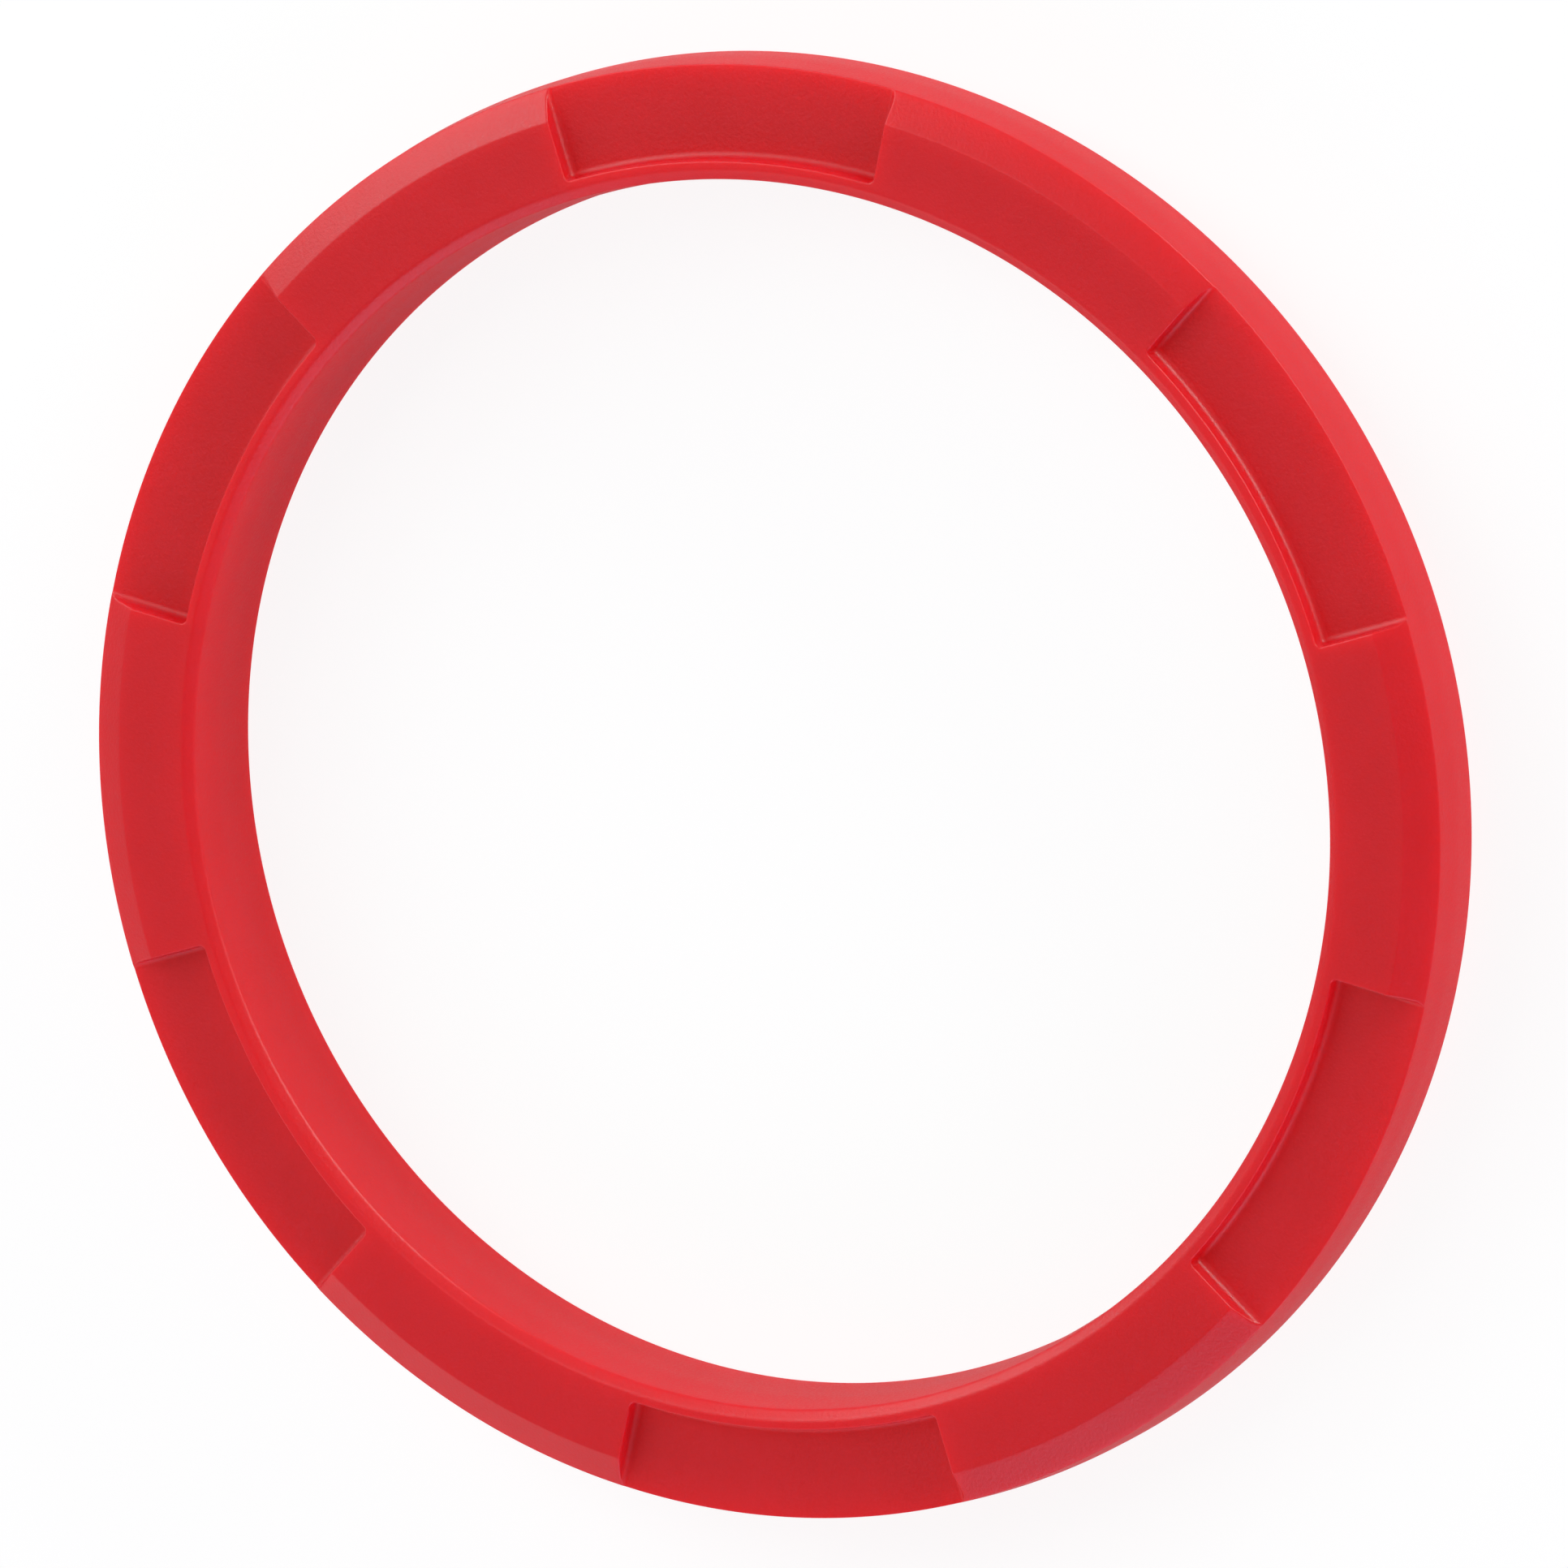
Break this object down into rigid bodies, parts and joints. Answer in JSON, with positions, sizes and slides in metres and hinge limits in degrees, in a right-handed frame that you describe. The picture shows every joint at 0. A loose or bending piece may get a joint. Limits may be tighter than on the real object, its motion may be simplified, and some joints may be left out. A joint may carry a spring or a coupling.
{
  "type": "wheel centring ring",
  "caption": "One-piece moulded plastic ring with a chamfered rim, shallow notches round its front face and a plain through bore; it centres a wheel on a smaller hub spigot.",
  "frame": {"origin": "centre of the rear face, on the bore axis", "axes": "+Z along the bore axis from the rear face to the notched front face; +X through the middle of one notch"},
  "size_m": [0.0672, 0.0672, 0.006],
  "materials": {
    "red_plastic": "satin, fine spark-eroded texture"
  },
  "bodies": {
    "root": {"centring_ring": "red_plastic"}
  },
  "joints": []
}
